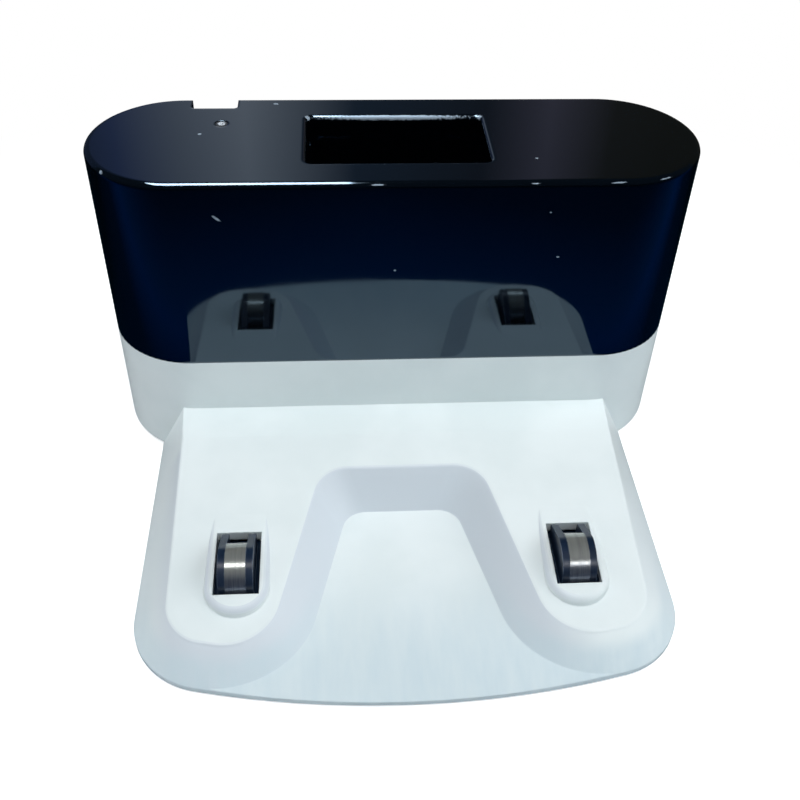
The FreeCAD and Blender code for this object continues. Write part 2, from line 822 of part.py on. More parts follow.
def make_bottom_plate():
    body = new_body("bottom_plate")
    gap = size("plate_gap")
    sheet_outline = new_sketch(body, "plate", "XY_Plane", (0, 0, ground))
    plate_outline(sheet_outline, gap)
    pad(body, sheet_outline, size("plate_gauge"))
    under_tower = new_sketch(body, "plate_tower", "XY_Plane", (0, 0, ground))
    tower_outline(under_tower, size("plate_tower_margin") + gap)
    pad(body, under_tower, size("plate_gauge"))

    # Spring wells with a peg, and a slot at the back for the terminal's tail
    for side in SIDES:
        x = contact_x * side
        guide = new_sketch(body, "guide", "XY_Plane", (0, 0, plate_top))
        holder_outline(guide, x, size("guide_gap") + size("guide_wall"))
        pad(body, guide, size("guide_height"))
        bore = new_sketch(body, "guide_bore", "XY_Plane", (0, 0, plate_top))
        holder_outline(bore, x, size("guide_gap"))
        pocket(body, bore, size("guide_height"), reverse=True)
        slot = new_sketch(body, "guide_slot", "XY_Plane", (0, 0, plate_top))
        half_slot = size("guide_slot_width") / 2
        rectangle(slot, x - half_slot, x + half_slot, window_y, window_y + size("window_length"))
        pocket(body, slot, size("guide_height"), reverse=True)
        peg = new_sketch(body, "spring_peg", "XY_Plane", (0, 0, plate_top))
        circle(peg, x, window_y, size("peg_radius"))
        pad(body, peg, size("peg_height"))

    # Grooved posts for the main board, and the seat of the power jack
    half_groove = size("board_gauge") / 2 + size("board_gap")
    for side in SIDES:
        inner_x = (size("board_width") / 2 - size("post_bite")) * side
        edge_x = (size("board_width") / 2 + size("board_gap")) * side
        outer_x = inner_x + size("post_width") * side
        post = new_sketch(body, "board_post", "XY_Plane", (0, 0, plate_top))
        rectangle(
            post, inner_x, outer_x, board_y - size("post_depth") / 2, board_y + size("post_depth") / 2)
        pad(body, post, size("board_lift") + size("post_grip") - plate_top)
        groove = new_sketch(body, "board_groove", "XY_Plane", (0, 0, size("board_lift")))
        rectangle(groove, inner_x - side, edge_x, board_y - half_groove, board_y + half_groove)
        pocket(body, groove, size("post_grip"), reverse=True)
    seat = new_sketch(body, "jack_seat", "XY_Plane", (0, 0, plate_top))
    rectangle(
        seat, jack_x - size("jack_width") / 2, jack_x + size("jack_width") / 2,
        jack_back_y - size("jack_length"), jack_back_y - size("shell_wall"))
    pad(body, seat, size("jack_lift") - size("jack_height") / 2 - plate_top)

    # Screw holes with sunk heads, and foot recesses
    for x, y in screw_places():
        hole = new_sketch(body, "screw_hole", "XY_Plane", (0, 0, ground))
        circle(hole, x, y, size("screw_radius") + size("screw_gap"))
        pocket(body, hole, size("plate_gauge"), reverse=True)
        sink = new_sketch(body, "screw_sink", "XY_Plane", (0, 0, ground))
        circle(sink, x, y, size("screw_head_radius") + size("screw_gap"))
        pocket(body, sink, size("screw_head"), reverse=True)
    for x, y in foot_places():
        recess = new_sketch(body, "foot_recess", "XY_Plane", (0, 0, ground))
        circle(recess, x, y, size("foot_radius"))
        pocket(body, recess, size("foot_depth"), reverse=True)
    return body


def make_tower_cover():
    body = new_body("tower_cover")
    top = size("tower_height")
    seam = size("seam_height")
    roof_low = top - size("cover_roof")
    block = new_sketch(body, "cover", "XY_Plane", (0, 0, seam))
    tower_outline(block, 0)
    pad(body, block, top - seam)
    round_edges(body, "cover_edge", size("cover_edge_radius"), cover_edge)
    hollow = new_sketch(body, "cover_hollow", "XY_Plane", (0, 0, seam))
    tower_outline(hollow, size("shell_wall"))
    pocket(body, hollow, roof_low - seam, reverse=True)
    rabbet = new_sketch(body, "cover_rabbet", "XY_Plane", (0, 0, seam))
    tower_outline(rabbet, size("shell_wall") - size("tongue_wall") - size("seam_gap"))
    pocket(body, rabbet, size("tongue_height") + size("seam_gap"), reverse=True)

    # Tool well, moulded in one with the roof
    wall = size("well_wall")
    shaft = new_sketch(body, "well_shaft", "XY_Plane", (0, 0, roof_low + size("cover_roof") / 2))
    rectangle(
        shaft, -size("well_width") / 2 - wall, size("well_width") / 2 + wall,
        well_front_y - wall, well_back_y + wall, size("well_corner_radius") + wall)
    pad(body, shaft, size("well_depth") + wall - size("cover_roof") / 2, reverse=True)
    mouth = new_sketch(body, "well_mouth", "XY_Plane", (0, 0, top))
    rectangle(
        mouth, -size("well_width") / 2, size("well_width") / 2, well_front_y, well_back_y,
        size("well_corner_radius"))
    pocket(body, mouth, size("well_depth"))
    round_edges(body, "well_rim", size("well_rim_radius"), well_rim)

    # Cord channel down the back, flared where it meets the rear face
    half = size("channel_width") / 2
    depth_y = back_y - size("channel_depth")
    channel_low = seam + size("tongue_height") + size("seam_gap")
    sides = new_sketch(body, "channel_sides", "XY_Plane", (0, 0, channel_low))
    rectangle(
        sides, channel_x - half - size("channel_wall"), channel_x + half + size("channel_wall"),
        depth_y - size("channel_wall"), back_y - size("shell_wall") / 2)
    pad(body, sides, roof_low + size("cover_roof") / 2 - channel_low)
    groove = new_sketch(body, "channel", "XY_Plane", (0, 0, channel_low + size("channel_wall")))
    flare = size("channel_mouth_radius")
    outside_y = back_y + size("seam_gap") / 5
    polygon(groove, [
        (channel_x - half, depth_y, size("channel_corner_radius")),
        (channel_x + half, depth_y, size("channel_corner_radius")),
        (channel_x + half, outside_y, flare),
        (channel_x + half + flare * 2, outside_y, None),
        (channel_x + half + flare * 2, outside_y + flare, None),
        (channel_x - half - flare * 2, outside_y + flare, None),
        (channel_x - half - flare * 2, outside_y, None),
        (channel_x - half, outside_y, flare)])
    pocket(body, groove, top - channel_low, reverse=True)

    # Light hole, posts of the lamp board, and the long screw posts
    hole = new_sketch(body, "light_hole", "XY_Plane", (0, 0, top))
    circle(hole, light_x, light_y, size("light_radius") + size("light_gap"))
    pocket(body, hole, size("cover_roof") * 1.5)
    for side in SIDES:
        post = new_sketch(body, "lamp_post", "XY_Plane", (0, 0, roof_low + size("cover_roof") / 2))
        circle(post, light_x + size("lamp_post_spacing") / 2 * side, light_y, size("lamp_post_radius"))
        pad(body, post, roof_low + size("cover_roof") / 2 - lamp_board_top, reverse=True)
    for side in SIDES:
        x = size("screw_rear_spacing") / 2 * side
        post = new_sketch(body, "screw_post", "XY_Plane", (0, 0, plate_top))
        circle(post, x, tower_mid_y, size("screw_boss_radius"))
        pad(body, post, roof_low + size("cover_roof") / 2 - plate_top)
        pilot = new_sketch(body, "post_pilot", "XY_Plane", (0, 0, plate_top))
        circle(pilot, x, tower_mid_y, size("screw_radius"))
        pocket(body, pilot, size("screw_length"), reverse=True)
    return body


# Sprung contacts


def make_contact_holder(label, side):
    body = new_body(label)
    x = contact_x * side
    roof_top = size("ceiling_height") - size("stop_gap")
    roof_low = roof_top - size("holder_roof")

    # Sliding cup under the window
    cup = new_sketch(body, label + "_cup", "XY_Plane", (0, 0, roof_low - size("holder_skirt")))
    holder_outline(cup, x, 0)
    pad(body, cup, size("holder_skirt") + size("holder_roof"))
    inside = new_sketch(body, label + "_inside", "XY_Plane", (0, 0, roof_low - size("holder_skirt")))
    holder_outline(inside, x, -size("holder_wall"))
    pocket(body, inside, size("holder_skirt"), reverse=True)

    # Arched core under the strip, with a shelf for the strip's foot
    gauge = size("strip_gauge")
    core = new_sketch(body, label + "_core", "YZ_Plane", (0, 0, x))
    polygon(core, [
        (strip_foot_y, roof_top - size("holder_roof") / 2, None),
        (arch_back_y - gauge, roof_top - size("holder_roof") / 2, None),
        (arch_back_y - gauge, arch_top - gauge, arch_bend - gauge),
        (arch_front_y + gauge, arch_top - gauge, arch_bend - gauge),
        (arch_front_y + gauge, strip_foot_top - gauge, None),
        (strip_foot_y, strip_foot_top - gauge, None)])
    pad(body, core, size("strip_width"), both_ways=True)

    # Cheeks beside the strip, longer towards the tower
    cheek_top = arch_top - size("cheek_inset")
    cheek_front_y = arch_front_y + size("cheek_inset")
    cheek_back_y = window_y + size("window_length") / 2 - size("cheek_back_gap")
    for edge in SIDES:
        middle = x + (size("strip_width") + size("cheek_width")) / 2 * edge
        cheek = new_sketch(body, label + "_cheek", "YZ_Plane", (0, 0, middle))
        polygon(cheek, [
            (cheek_front_y, roof_top - size("holder_roof") / 2, None),
            (cheek_back_y, roof_top - size("holder_roof") / 2, None),
            (cheek_back_y, size("boss_height") + size("cheek_back_rise"), size("cheek_back_radius")),
            (arch_mid_y + size("cheek_crest"), cheek_top, size("cheek_crest_radius")),
            (cheek_front_y, cheek_top, arch_bend - size("cheek_inset"))])
        pad(body, cheek, size("cheek_width"), both_ways=True)

    # Slot for the strip's back leg
    slot = new_sketch(body, label + "_slot", "XY_Plane", (0, 0, roof_low))
    rectangle(
        slot, x - size("strip_width") / 2, x + size("strip_width") / 2,
        arch_back_y - gauge, arch_back_y + size("strip_slot_gap"))
    pocket(body, slot, size("holder_roof"), reverse=True)
    return body


def make_contact_strip(label, side):
    """Strip bent over the arch: a foot at the front, a leg through the holder and a tail on the spring."""
    body = new_body(label)
    gauge = size("strip_gauge")
    roof_low = size("ceiling_height") - size("stop_gap") - size("holder_roof")
    profile = new_sketch(body, label + "_profile", "YZ_Plane", (0, 0, contact_x * side))
    tail_y = window_y - size("spring_radius") - size("spring_wire")
    polygon(profile, [
        (strip_foot_y, strip_foot_top - gauge, None),
        (arch_front_y + gauge, strip_foot_top - gauge, None),
        (arch_front_y + gauge, arch_top - gauge, arch_bend - gauge),
        (arch_back_y - gauge, arch_top - gauge, arch_bend - gauge),
        (arch_back_y - gauge, roof_low, None),
        (tail_y, roof_low, None),
        (tail_y, roof_low - gauge, None),
        (arch_back_y, roof_low - gauge, None),
        (arch_back_y, arch_top, arch_bend),
        (arch_front_y, arch_top, arch_bend),
        (arch_front_y, strip_foot_top, None),
        (strip_foot_y, strip_foot_top, None)])
    pad(body, profile, size("strip_width"), both_ways=True)
    return body


def make_contact_spring(label, side):
    body = new_body(label)
    wire = size("spring_wire")
    section = new_sketch(body, label + "_wire", "YZ_Plane")
    flat = wire / 2 * math.tan(math.pi / 8)
    coil_corners = []
    for across, up in ((1, -1), (1, 1), (-1, 1), (-1, -1)):
        side_corner = (size("spring_radius") + wire / 2 * across, wire / 2 + flat * up, None)
        end_corner = (size("spring_radius") + flat * across, wire / 2 + wire / 2 * up, None)
        coil_corners += [side_corner, end_corner] if across == up else [end_corner, side_corner]
    polygon(section, coil_corners)
    coil = body.newObject("PartDesign::AdditiveHelix", label + "_coil")
    coil.Profile = section
    coil.ReferenceAxis = (section, ["V_Axis"])
    coil.Mode = "height-turns-angle"
    bind(coil, "Height", spring_length - wire)
    bind(coil, "Turns", size("spring_turns"))
    place(body, contact_x * side, window_y, terminal_top)
    return body


def make_contact_terminal(label, side):
    body = new_body(label)
    x = contact_x * side
    plate = new_sketch(body, label + "_plate", "XY_Plane", (0, 0, plate_top))
    rectangle(
        plate, x - size("terminal_width") / 2, x + size("terminal_width") / 2,
        window_y - size("terminal_length") / 2, window_y + size("terminal_length") / 2)
    pad(body, plate, size("terminal_gauge"))
    tail = new_sketch(body, label + "_tail", "XY_Plane", (0, 0, plate_top))
    half_tail = size("terminal_tail_width") / 2
    rectangle(tail, x - half_tail, x + half_tail, window_y, terminal_end_y)
    pad(body, tail, size("terminal_gauge"))
    hole = new_sketch(body, label + "_hole", "XY_Plane", (0, 0, plate_top))
    circle(hole, x, window_y, size("peg_radius") + size("peg_gap"))
    pocket(body, hole, size("terminal_gauge"), reverse=True)
    return body


def make_contact_lead(label, side):
    """Wire from the terminal's tail along the plate, then up the face of the main board."""
    body = new_body(label)
    x = contact_x * side
    start_y = terminal_end_y - size("lead_overlap")
    low_z = terminal_top + size("lead_radius")
    rise_y = board_y - size("board_gauge") / 2 - size("lead_radius")
    bend = size("lead_bend")
    top_z = size("board_lift") + size("lead_climb")
    path = new_sketch(body, label + "_path", "YZ_Plane", (0, 0, x))
    turn = FreeCAD.Vector(rise_y.number - bend.number, low_z.number + bend.number, 0)
    run = path.addGeometry(Part.LineSegment(vector(start_y, low_z), vector(rise_y - bend, low_z)), False)
    arc = path.addGeometry(
        Part.ArcOfCircle(Part.Circle(turn, FreeCAD.Vector(0, 0, 1), bend.number), -math.pi / 2, 0), False)
    climb = path.addGeometry(Part.LineSegment(vector(rise_y, low_z + bend), vector(rise_y, top_z)), False)
    rules = Constraints(path)
    rules.add("Tangent", run, 2, arc, 1)
    rules.add("Tangent", arc, 2, climb, 1)
    rules.add("Horizontal", run)
    rules.place(run, 1, start_y, low_z)
    rules.place(climb, 2, rise_y, top_z)
    rules.add("Vertical", climb)
    rules.sized("Radius", (arc,), bend)
    rules.apply()
    section = new_sketch(body, label + "_section", "XZ_Plane", (0, 0, -start_y))
    circle(section, x, low_z, size("lead_radius"))
    pipe = body.newObject("PartDesign::AdditivePipe", label + "_pipe")
    pipe.Profile = section
    pipe.Spine = (path, ["Edge1", "Edge2", "Edge3"])
    return body


# Electronics


def make_main_board():
    body = new_body("main_board")
    half = size("board_width") / 2
    card = new_sketch(body, "card", "XZ_Plane", (0, 0, -board_y))
    rectangle(card, -half, half, size("board_lift"), board_top)
    pad(body, card, size("board_gauge"), both_ways=True)
    return body


def make_emitter(label, side):
    """Domed infrared lamp with a rim, standing on the board's front face and looking forwards."""
    body = new_body(label)
    radius = size("emitter_radius")
    rim = size("emitter_rim")
    profile = new_sketch(body, label + "_profile", "XY_Plane", (0, 0, 0))
    length = size("emitter_length")
    polygon(profile, [
        (0, 0, None),
        (radius + rim, 0, None),
        (radius + rim, -rim * 2, None),
        (radius, -rim * 2, None),
        (radius, -length, radius * 0.9),
        (0, -length, None)])
    turned = body.newObject("PartDesign::Revolution", label + "_turned")
    turned.Profile = profile
    turned.ReferenceAxis = (profile, ["V_Axis"])
    turned.Angle = 360.0
    face_y = board_y - size("board_gauge") / 2
    place(body, size("emitter_spacing") * side, face_y, board_top - size("emitter_drop"))
    return body


def make_lamp_board():
    body = new_body("status_board")
    card = new_sketch(body, "lamp_card", "XY_Plane", (0, 0, lamp_board_top))
    half_width = size("lamp_board_width") / 2
    half_length = size("lamp_board_length") / 2
    rectangle(card, light_x - half_width, light_x + half_width, light_y - half_length, light_y + half_length)
    pad(body, card, size("board_gauge"), reverse=True)
    return body


def make_lamp():
    body = new_body("status_lamp")
    half = size("lamp_width") / 2
    chip = new_sketch(body, "lamp_chip", "XY_Plane", (0, 0, lamp_board_top))
    rectangle(chip, light_x - half, light_x + half, light_y - half, light_y + half)
    pad(body, chip, size("lamp_height"))
    return body


def make_light_pipe():
    body = new_body("status_light_pipe")
    rod = new_sketch(body, "light_rod", "XY_Plane", (0, 0, size("tower_height")))
    circle(rod, light_x, light_y, size("light_radius"))
    pad(body, rod, size("light_length"), reverse=True)
    flange = new_sketch(body, "light_flange", "XY_Plane", (0, 0, size("tower_height") - size("cover_roof")))
    circle(flange, light_x, light_y, size("light_flange_radius"))
    pad(body, flange, size("light_flange"), reverse=True)
    return body


def make_power_jack():
    body = new_body("power_jack")
    half = size("jack_width") / 2
    low = size("jack_lift") - size("jack_height") / 2
    block = new_sketch(body, "jack_block", "XZ_Plane", (0, 0, -jack_back_y))
    rectangle(block, jack_x - half, jack_x + half, low, low + size("jack_height"))
    pad(body, block, size("jack_length"))
    nose = new_sketch(body, "jack_nose", "XZ_Plane", (0, 0, -back_y))
    circle(nose, jack_x, size("jack_lift"), size("jack_nose_radius"))
    pad(body, nose, size("shell_wall") * 2)
    bore = new_sketch(body, "jack_bore", "XZ_Plane", (0, 0, -back_y))
    circle(bore, jack_x, size("jack_lift"), size("jack_bore_radius"))
    pocket(body, bore, size("jack_bore_depth"), reverse=True)
    return body


def make_jack_pin():
    body = new_body("power_jack_pin")
    pin = new_sketch(body, "jack_pin", "XZ_Plane", (0, 0, size("jack_bore_depth") - back_y))
    circle(pin, jack_x, size("jack_lift"), size("jack_pin_radius"))
    pad(body, pin, size("jack_bore_depth") - size("jack_pin_tip"), reverse=True)
    return body


# Fasteners and feet


def make_screw(label, x, y):
    body = new_body(label)
    shank = new_sketch(body, label + "_shank", "XY_Plane", (0, 0, ground + size("screw_head")))
    circle(shank, x, y, size("screw_radius"))
    pad(body, shank, size("screw_length") - size("screw_head"))
    head = new_sketch(body, label + "_head", "XY_Plane", (0, 0, ground))
    circle(head, x, y, size("screw_head_radius"))
    pad(body, head, size("screw_head"))
    return body


def make_foot(label, x, y):
    body = new_body(label)
    disc = new_sketch(body, label + "_disc", "XY_Plane")
    circle(disc, x, y, size("foot_radius") - size("foot_gap"))
    pad(body, disc, size("foot_proud") + size("foot_depth"))
    return body


make_base_housing()
make_bottom_plate()
make_tower_cover()
for name, side in zip(("left", "right"), SIDES):
    make_contact_holder("contact_holder_" + name, side)
    make_contact_strip("contact_strip_" + name, side)
    make_contact_spring("contact_spring_" + name, side)
    make_contact_terminal("contact_terminal_" + name, side)
    make_contact_lead("contact_lead_" + name, side)
make_main_board()
for name, side in zip(("left", "centre", "right"), (-1, 0, 1)):
    make_emitter("emitter_" + name, side)
make_lamp_board()
make_lamp()
make_light_pipe()
make_power_jack()
make_jack_pin()
CORNERS = ("front_left", "front_right", "rear_left", "rear_right")
for name, (x, y) in zip(CORNERS, screw_places()):
    make_screw("screw_" + name, x, y)
for name, (x, y) in zip(CORNERS, foot_places()):
    make_foot("foot_" + name, x, y)
doc.recompute()

faults = [item.Name for item in doc.Objects if "Invalid" in item.State or "Error" in item.State]
bodies = [item for item in doc.Objects if item.TypeId == "PartDesign::Body"]
for body in bodies:
    if body.Shape.isNull() or not body.Shape.isValid() or len(body.Shape.Solids) != 1:
        faults.append(body.Label)
if faults:
    raise RuntimeError("not built: " + ", ".join(faults))

os.makedirs("parts", exist_ok=True)
for body in bodies:
    body.Shape.exportStep("parts/%s.step" % body.Label)
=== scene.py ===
import json
import math

import bmesh
import bpy
from mathutils import Matrix, Vector


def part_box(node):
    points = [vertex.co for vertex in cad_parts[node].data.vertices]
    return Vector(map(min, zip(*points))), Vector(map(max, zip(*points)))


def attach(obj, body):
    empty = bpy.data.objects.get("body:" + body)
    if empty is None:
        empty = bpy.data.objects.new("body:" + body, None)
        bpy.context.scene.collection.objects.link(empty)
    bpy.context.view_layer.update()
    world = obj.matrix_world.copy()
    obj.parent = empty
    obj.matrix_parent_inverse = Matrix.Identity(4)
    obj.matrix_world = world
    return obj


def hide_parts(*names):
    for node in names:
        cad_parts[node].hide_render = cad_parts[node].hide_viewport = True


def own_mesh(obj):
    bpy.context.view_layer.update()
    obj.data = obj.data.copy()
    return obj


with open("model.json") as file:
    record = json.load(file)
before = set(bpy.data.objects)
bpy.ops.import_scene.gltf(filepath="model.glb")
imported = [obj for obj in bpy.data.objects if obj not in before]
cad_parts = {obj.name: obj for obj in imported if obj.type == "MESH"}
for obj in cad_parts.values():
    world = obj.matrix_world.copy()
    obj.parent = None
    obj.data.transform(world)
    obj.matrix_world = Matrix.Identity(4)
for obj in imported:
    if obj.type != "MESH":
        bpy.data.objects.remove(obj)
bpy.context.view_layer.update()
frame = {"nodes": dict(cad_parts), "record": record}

# Robot vacuum charging dock: white ramp, gloss black tower, two sprung contacts.
# Frame: X across the dock, -Y towards the approaching robot, +Z up. Metres.

MM = 0.001
nodes = frame["nodes"]


# Colours and shader nodes

NOISE = "ShaderNodeTexNoise"
MAPPING = "ShaderNodeMapping"
AXES = "ShaderNodeSeparateXYZ"
VECTOR = "ShaderNodeVectorMath"
MATH = "ShaderNodeMath"
RANGE = "ShaderNodeMapRange"  # inputs: value, from low, from high, to low, to high
MIX = "ShaderNodeMix"  # inputs of its colours: share 0, first 6, second 7
BEVEL = "ShaderNodeBevel"
BUMP = "ShaderNodeBump"
PRINCIPLED = "ShaderNodeBsdfPrincipled"
EMISSION = "ShaderNodeEmission"
MIX_SHADER = "ShaderNodeMixShader"
SMOOTH = {"interpolation_type": "SMOOTHSTEP"}
COLOURS = {"data_type": "RGBA"}
TIMES = {"operation": "MULTIPLY"}
LENGTH = {"operation": "LENGTH"}
HIGHER = {"operation": "MAXIMUM"}


def linear(hex_colour):
    """An sRGB colour such as #E4F0F0 as linear red, green, blue and alpha."""
    channels = []
    for start in (1, 3, 5):
        share = int(hex_colour[start:start + 2], 16) / 255
        channels.append(share / 12.92 if share <= 0.04045 else ((share + 0.055) / 1.055) ** 2.4)
    return (*channels, 1.0)


def add(tree, kind, inputs=None, **settings):
    """Adds a node with its settings; an input is a value, a hex colour, or what it links to."""
    node = tree.nodes.new(kind)
    for name, value in settings.items():
        setattr(node, name, value)
    for name, value in (inputs or {}).items():
        if isinstance(value, bpy.types.Node):
            value = next(socket for socket in value.outputs if socket.enabled)
        if isinstance(value, bpy.types.NodeSocket):
            tree.links.new(value, node.inputs[name])
        else:
            node.inputs[name].default_value = linear(value) if isinstance(value, str) else value
    return node


def new_material(name):
    """An empty material, its tree and Object coordinates in millimetres."""
    material = bpy.data.materials.new(name)
    material.use_nodes = True
    tree = material.node_tree
    tree.nodes.clear()
    place = add(tree, "ShaderNodeTexCoord").outputs["Object"]
    return material, tree, add(tree, VECTOR, {0: place, "Scale": 1 / MM}, operation="SCALE")


def finish_material(material, tree, shader):
    add(tree, "ShaderNodeOutputMaterial", {"Surface": shader})
    return material


# Materials


def shade_and_dust_share(tree, *limits):
    """1 inside the limits, where the dusting and the painted shade are laid; each limit is a value,
    where the share starts on it and where it is full.
    """
    share = 1.0
    for value, start, full in limits:
        inside = add(tree, RANGE, {0: value, 1: start, 2: full}, **SMOOTH)
        share = add(tree, MATH, {0: share, 1: inside}, **TIMES)
    return share


def moulded_white_abs():
    """White ABS moulded in a satin tool: an even cool white with a soft broad sheen, faint flow
    marks, softened edges, a dusting and painted shade on the ramp's slopes, and painted shade
    in streaks over the front of the dip's floor."""
    material, tree, place = new_material("white ABS, satin moulded")
    axes = add(tree, AXES, {0: place}).outputs
    facing = add(tree, "ShaderNodeNewGeometry").outputs["True Normal"]
    upward = add(tree, AXES, {0: facing}).outputs["Z"]

    melt = add(tree, NOISE, {"Vector": place, "Scale": 1 / 22, "Detail": 3})
    flow = add(tree, RANGE, {0: melt, 1: 0.35, 2: 0.65}, **SMOOTH)
    clean = add(tree, MIX, {0: flow, 6: "#E2ECED", 7: "#E8F1F2"}, **COLOURS)

    # Partly a dusting, partly painted shade: the sloped faces in front of the tower greyed
    dusting_and_shade = shade_and_dust_share(
        tree, (upward, 0.97, 0.88), (upward, 0.25, 0.5), (axes["X"], -62, -54), (axes["X"], 46, 30),
        (axes["Y"], 6, 2))
    dusted_and_shaded = add(tree, MIX, {0: dusting_and_shade, 6: clean, 7: "#D6DFE6"}, **COLOURS)
    # Painted shade: the dip's floor greyer towards its front, in uneven streaks
    streak_stretch = add(tree, MAPPING, {"Vector": place, "Scale": (1 / 0.6, 1 / 3, 1)})
    shade_streaks = add(tree, NOISE, {"Vector": streak_stretch, "Scale": 1 / 5, "Detail": 3})
    uneven = add(tree, RANGE, {0: shade_streaks, 1: 0.1, 2: 0.9, 3: 0.55, 4: 1.0}, **SMOOTH)
    front_floor_shade = shade_and_dust_share(tree, (axes["Y"], -22, -58), (axes["Z"], 7.5, 4.5), (upward, -0.2, 0.1))
    streaky_front_shade = add(tree, MATH, {0: front_floor_shade, 1: uneven}, **TIMES)
    colour = add(tree, MIX, {0: streaky_front_shade, 6: dusted_and_shaded, 7: "#CCDDE4"}, **COLOURS)

    # The tool's grain is nearer 0.1 mm; it is drawn at 0.4 mm so that it shows
    edge = add(tree, BEVEL, {"Radius": 0.45 * MM}, samples=4)
    grain = add(tree, NOISE, {"Vector": place, "Scale": 1 / 0.4, "Detail": 2})
    bump = add(tree, BUMP, {
        "Height": grain, "Strength": 0.08, "Distance": 0.02 * MM, "Normal": edge})
    wiping = add(tree, MAPPING, {"Vector": place, "Scale": (1, 1 / 3, 1)})
    rub = add(tree, NOISE, {"Vector": wiping, "Scale": 1 / 6, "Detail": 3})
    sheen = add(tree, RANGE, {0: rub, 1: 0.2, 2: 0.8, 3: 0.335, 4: 0.365}, **SMOOTH)
    shader = add(tree, PRINCIPLED, {
        "Base Color": colour, "Roughness": sheen, "IOR": 1.53, "Normal": bump})
    return finish_material(material, tree, shader)


# Scuffs in the lacquer, and painted glints and highlights on its edges: middle and half sizes in
# millimetres, turns about X, Y and Z in degrees
COVER_SCUFFS_AND_GLINTS = (
    # Front face
    ((-43.0, 18.75, 76.6), (1.5, 1.0, 0.42), (0, 38, 0)),
    ((38.6, 18.75, 64.8), (0.5, 1.0, 0.3), (0, 20, 0)),
    ((-1.2, 18.75, 61.5), (0.4, 1.0, 0.3), (0, 0, 0)),
    ((35.4, 18.75, 77.3), (0.35, 1.0, 0.25), (0, 0, 0)),
    # Top
    ((-30.0, 60.0, 85.4), (0.9, 0.6, 0.5), (0, 0, 0)),
    ((-48.0, 43.5, 85.4), (0.6, 0.6, 0.5), (0, 0, 0)),
    ((33.0, 30.0, 85.4), (0.5, 0.5, 0.5), (0, 0, 0)),
    # Edge between them: painted glints
    ((-69.0, 26.0, 84.8), (0.8, 0.6, 0.6), (0, 0, -50)),
    ((-5.5, 18.95, 84.9), (2.2, 0.25, 0.3), (0, 0, 0)),
    ((31.0, 18.95, 84.9), (1.5, 0.22, 0.25), (0, 0, 0)),
    ((50.5, 19.0, 84.9), (2.8, 0.2, 0.25), (0, 0, 4)),
    ((62.0, 20.7, 84.9), (3.0, 0.3, 0.3), (0, 0, 25)),
    # Rear rim of the top pocket: a painted highlight, brighter at both ends
    ((0.0, 53.0, 84.9), (24.5, 0.7, 0.9), (0, 0, 0)),
    ((-22.0, 52.6, 84.9), (1.0, 0.9, 1.0), (0, 0, 0)),
    ((22.0, 52.6, 84.9), (1.0, 0.9, 1.0), (0, 0, 0)),
)


def lacquered_black_abs():
    """Black ABS from a polished tool under clear lacquer: nearly a cool mirror, with faint wiping
    haze, pale scuffs where things were dropped on it, painted glints on its edges and a painted
    highlight along the top pocket's rear rim."""
    material, tree, place = new_material("black ABS, polished and lacquered")
    wiping = add(tree, MAPPING, {"Vector": place, "Scale": (1 / 2, 1, 1)})
    smears = add(tree, NOISE, {"Vector": wiping, "Scale": 1 / 16, "Detail": 3})
    haze = add(tree, RANGE, {0: smears, 1: 0.4, 2: 0.7, 3: 0.035, 4: 0.06}, **SMOOTH)
    torn = add(tree, NOISE, {"Vector": place, "Scale": 1 / 0.5, "Detail": 3})
    ragged = add(tree, MATH, {0: torn, 1: 0.9}, **TIMES)
    marks = 0.0
    for middle, reach, turns in COVER_SCUFFS_AND_GLINTS:
        across = add(tree, MAPPING, {
            "Vector": place, "Location": middle, "Rotation": [math.radians(turn) for turn in turns],
            "Scale": reach}, vector_type="TEXTURE")
        away = add(tree, VECTOR, {0: across}, **LENGTH)
        ends = add(tree, MATH, {0: away, 1: ragged})
        mark = add(tree, RANGE, {0: ends, 1: 1.35, 2: 0.95}, **SMOOTH)
        marks = add(tree, MATH, {0: marks, 1: mark}, **HIGHER)
    # Pale colour for the scuffs and for the painted glints and highlight
    colour = add(tree, MIX, {0: marks, 6: "#010204", 7: "#8A97A3"}, **COLOURS)
    dull = add(tree, MATH, {0: marks, 1: 0.4, 2: haze}, operation="MULTIPLY_ADD")
    edge = add(tree, BEVEL, {"Radius": 0.9 * MM}, samples=8)
    shader = add(tree, PRINCIPLED, {
        "Base Color": colour, "Roughness": dull, "IOR": 1.58, "Specular IOR Level": 1.0,
        "Specular Tint": "#C4E4FF", "Normal": edge})
    return finish_material(material, tree, shader)


def moulded_black_acetal():
    """Navy black acetal, satin from the tool and paler in patches along its edges."""
    material, tree, place = new_material("black acetal, satin moulded")
    rounded = add(tree, BEVEL, {"Radius": 0.25 * MM}, samples=6)
    facing = add(tree, "ShaderNodeNewGeometry").outputs["True Normal"]
    flatness = add(tree, VECTOR, {0: rounded, 1: facing}, operation="DOT_PRODUCT")
    edges = add(tree, RANGE, {0: flatness, 1: 0.97, 2: 0.86}, **SMOOTH)
    patches = add(tree, NOISE, {"Vector": place, "Scale": 1 / 1.2, "Detail": 3})
    worn = add(tree, RANGE, {0: patches, 1: 0.3, 2: 0.6}, **SMOOTH)
    pale_edge_patches = add(tree, MATH, {0: edges, 1: worn}, **TIMES)

    melt = add(tree, NOISE, {"Vector": place, "Scale": 1 / 2.5, "Detail": 3})
    cloud = add(tree, MIX, {0: melt, 6: "#0E1827", 7: "#182940"}, **COLOURS)
    colour = add(tree, MIX, {0: pale_edge_patches, 6: cloud, 7: "#5D6E82"}, **COLOURS)
    grain = add(tree, NOISE, {"Vector": place, "Scale": 1 / 0.25, "Detail": 1})
    bump = add(tree, BUMP, {"Height": grain, "Strength": 0.1, "Distance": 0.02 * MM})
    sheen = add(tree, RANGE, {0: pale_edge_patches, 3: 0.34, 4: 0.5}, **SMOOTH)
    shader = add(tree, PRINCIPLED, {
        "Base Color": colour, "Roughness": sheen, "IOR": 1.48, "Normal": bump})
    return finish_material(material, tree, shader)


